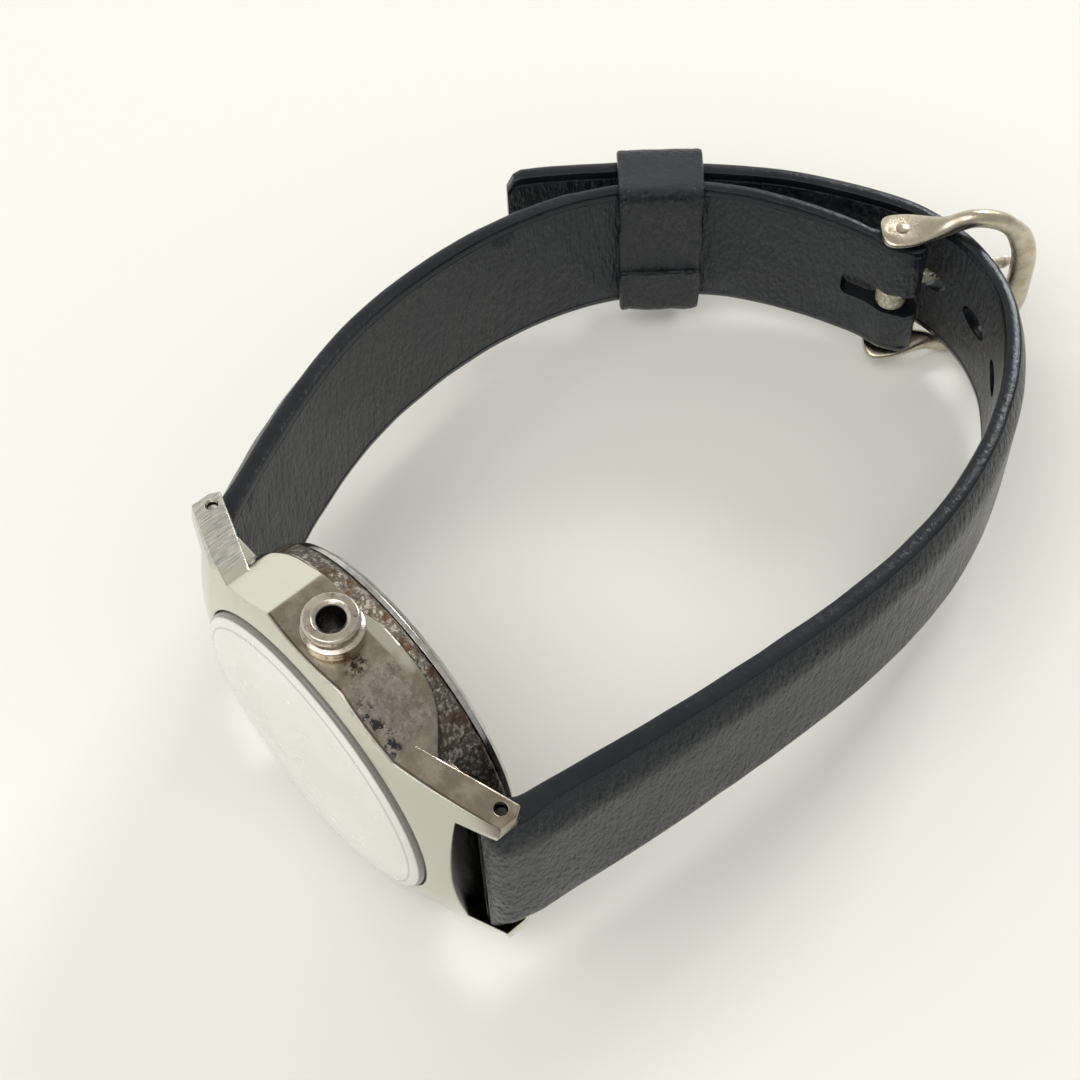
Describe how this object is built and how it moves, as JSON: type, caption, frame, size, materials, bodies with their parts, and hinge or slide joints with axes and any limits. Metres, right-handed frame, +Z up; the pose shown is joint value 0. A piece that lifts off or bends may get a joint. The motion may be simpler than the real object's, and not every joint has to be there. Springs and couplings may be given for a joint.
{
  "type": "wristwatch",
  "caption": "Worn steel wristwatch with no crown, lying on its side with its black leather strap buckled into a loop.",
  "frame": {"origin": "middle of the bounding box, on the surface the watch lies on", "axes": "+X from the twelve o'clock lugs to the six o'clock lugs, +Y from the dial through the wrist space to the buckle, +Z up, towards three o'clock and the winding-stem tube"},
  "size_m": [0.0544, 0.0804, 0.0325],
  "materials": {
    "case_steel": "polished chromed case, worn and pitted at the back edge",
    "back_steel": "polished steel back, scratched",
    "crystal": "clear acrylic, lightly scratched",
    "dial_silver": "silvered satin dial",
    "hand_steel": "polished",
    "wheel_brass": "gilt wheels",
    "movement_nickel": "nickel-plated plates and bridges",
    "blued_steel": "heat-blued steel",
    "gasket_rubber": "black nitrile",
    "bar_steel": "stainless",
    "strap_leather": "black calf, fine grain, glossy outside",
    "buckle_metal": "worn nickel plate with a warm tint"
  },
  "bodies": {
    "case": {"mid_case": "case_steel", "crown_tube": "case_steel", "crystal": "crystal", "crystal_tension_ring": "case_steel", "caseback": "back_steel", "caseback_gasket": "gasket_rubber", "dial": "dial_silver", "main_plate": "movement_nickel", "barrel_bridge": "movement_nickel", "train_bridge": "movement_nickel", "balance_cock": "movement_nickel", "movement_ring": "movement_nickel", "crown_wheel_screw": "blued_steel", "click_screw": "blued_steel", "minute_wheel_post": "movement_nickel", "spring_bar_12_sleeve": "bar_steel", "spring_bar_12_coil": "bar_steel", "spring_bar_6_sleeve": "bar_steel", "spring_bar_6_coil": "bar_steel", "strap_short": "strap_leather", "strap_long": "strap_leather"},
    "centre_train": {"centre_wheel": "wheel_brass", "cannon_pinion": "movement_nickel", "minute_hand": "hand_steel"},
    "third_train": {"third_wheel": "wheel_brass"},
    "fourth_train": {"fourth_wheel": "wheel_brass", "seconds_hand": "hand_steel"},
    "escape_train": {"escape_wheel": "movement_nickel"},
    "barrel_drum": {"barrel": "wheel_brass"},
    "hour_train": {"hour_wheel": "wheel_brass", "hour_hand": "hand_steel"},
    "motion_train": {"minute_wheel": "wheel_brass"},
    "winding_ratchet": {"ratchet_wheel": "movement_nickel", "barrel_arbor": "movement_nickel"},
    "winding_crown_wheel": {"crown_wheel": "movement_nickel"},
    "click_pawl": {"click": "movement_nickel"},
    "lever": {"pallet_fork": "movement_nickel"},
    "balance": {"balance_wheel": "wheel_brass", "hairspring": "blued_steel"},
    "keeper_loop": {"keeper": "strap_leather"},
    "buckle": {"buckle_frame": "buckle_metal", "buckle_bar": "buckle_metal"},
    "tongue": {"buckle_tongue": "buckle_metal"},
    "bar_12_pin_crown_end": {"spring_bar_12_pin_crown_end": "bar_steel"},
    "bar_12_pin_far_end": {"spring_bar_12_pin_far_end": "bar_steel"},
    "bar_6_pin_crown_end": {"spring_bar_6_pin_crown_end": "bar_steel"},
    "bar_6_pin_far_end": {"spring_bar_6_pin_far_end": "bar_steel"}
  },
  "joints": [
    {"name": "seconds_spin", "type": "hinge", "parent": "case", "child": "fourth_train", "pos_m": [0.00389, -0.0333, 0.0153], "axis": [0, 0.9968, -0.0797], "continuous": true},
    {"name": "third_spin", "type": "hinge", "parent": "case", "child": "third_train", "pos_m": [0.00748, -0.0332, 0.01661], "axis": [0, 0.9968, -0.0797], "continuous": true},
    {"name": "minute_spin", "type": "hinge", "parent": "case", "child": "centre_train", "pos_m": [0.00389, -0.0333, 0.0153], "axis": [0, 0.9968, -0.0797], "continuous": true},
    {"name": "barrel_spin", "type": "hinge", "parent": "case", "child": "barrel_drum", "pos_m": [-0.00059, -0.03309, 0.01788], "axis": [0, 0.9968, -0.0797], "continuous": true},
    {"name": "escape_spin", "type": "hinge", "parent": "case", "child": "escape_train", "pos_m": [0.00482, -0.03358, 0.01183], "axis": [0, 0.9968, -0.0797], "continuous": true},
    {"name": "motion_spin", "type": "hinge", "parent": "case", "child": "motion_train", "pos_m": [0.00559, -0.03343, 0.01361], "axis": [0, 0.9968, -0.0797], "continuous": true},
    {"name": "hour_spin", "type": "hinge", "parent": "case", "child": "hour_train", "pos_m": [0.00389, -0.0333, 0.0153], "axis": [0, 0.9968, -0.0797], "continuous": true},
    {"name": "ratchet_spin", "type": "hinge", "parent": "case", "child": "winding_ratchet", "pos_m": [-0.00059, -0.03309, 0.01788], "axis": [0, 0.9968, -0.0797], "continuous": true},
    {"name": "crown_wheel_spin", "type": "hinge", "parent": "case", "child": "winding_crown_wheel", "pos_m": [0.00385, -0.03273, 0.02247], "axis": [0, 0.9968, -0.0797], "continuous": true},
    {"name": "click_swing", "type": "hinge", "parent": "case", "child": "click_pawl", "pos_m": [-0.0053, -0.0332, 0.01654], "axis": [0, 0.9968, -0.0797], "range_deg": [-8, 0], "stiffness_Nm_per_rad": 0.00002},
    {"name": "lever_swing", "type": "hinge", "parent": "case", "child": "lever", "pos_m": [0.00231, -0.03369, 0.01038], "axis": [0, 0.9968, -0.0797], "range_deg": [-5.5, 5.5]},
    {"name": "balance_swing", "type": "hinge", "parent": "case", "child": "balance", "pos_m": [-0.00084, -0.03374, 0.00983], "axis": [0, 0.9968, -0.0797], "range_deg": [-270, 270], "stiffness_Nm_per_rad": 0.0000003},
    {"name": "bar_12_pin_crown_end_press", "type": "slide", "parent": "case", "child": "bar_12_pin_crown_end", "axis": [0, -0.0797, -0.9968], "range_m": [0, 0.00105], "stiffness_N_per_m": 500},
    {"name": "bar_12_pin_far_end_press", "type": "slide", "parent": "case", "child": "bar_12_pin_far_end", "axis": [0, 0.0797, 0.9968], "range_m": [0, 0.00105], "stiffness_N_per_m": 500},
    {"name": "bar_6_pin_crown_end_press", "type": "slide", "parent": "case", "child": "bar_6_pin_crown_end", "axis": [0, -0.0797, -0.9968], "range_m": [0, 0.00105], "stiffness_N_per_m": 500},
    {"name": "bar_6_pin_far_end_press", "type": "slide", "parent": "case", "child": "bar_6_pin_far_end", "axis": [0, 0.0797, 0.9968], "range_m": [0, 0.00105], "stiffness_N_per_m": 500},
    {"name": "keeper_slide", "type": "slide", "parent": "case", "child": "keeper_loop", "axis": [0.6428, 0.7636, -0.061], "range_m": [-0.0008, 0.0025]},
    {"name": "buckle_swing", "type": "hinge", "parent": "case", "child": "buckle", "pos_m": [0.00199, 0.0297, 0.01027], "axis": [0, 0.0797, 0.9968], "range_deg": [-20, 0]},
    {"name": "tongue_swing", "type": "hinge", "parent": "case", "child": "tongue", "pos_m": [0.00199, 0.0297, 0.01027], "axis": [0, 0.0797, 0.9968], "range_deg": [0, 6]}
  ],
  "couplings": [
    {"joint": "third_spin", "follows": "seconds_spin", "ratio": -0.13333},
    {"joint": "minute_spin", "follows": "seconds_spin", "ratio": 0.016667},
    {"joint": "barrel_spin", "follows": "seconds_spin", "ratio": -0.0025641},
    {"joint": "escape_spin", "follows": "seconds_spin", "ratio": -10},
    {"joint": "motion_spin", "follows": "seconds_spin", "ratio": -0.0055556},
    {"joint": "hour_spin", "follows": "seconds_spin", "ratio": 0.0013889},
    {"joint": "crown_wheel_spin", "follows": "ratchet_spin", "ratio": -1.2857}
  ]
}
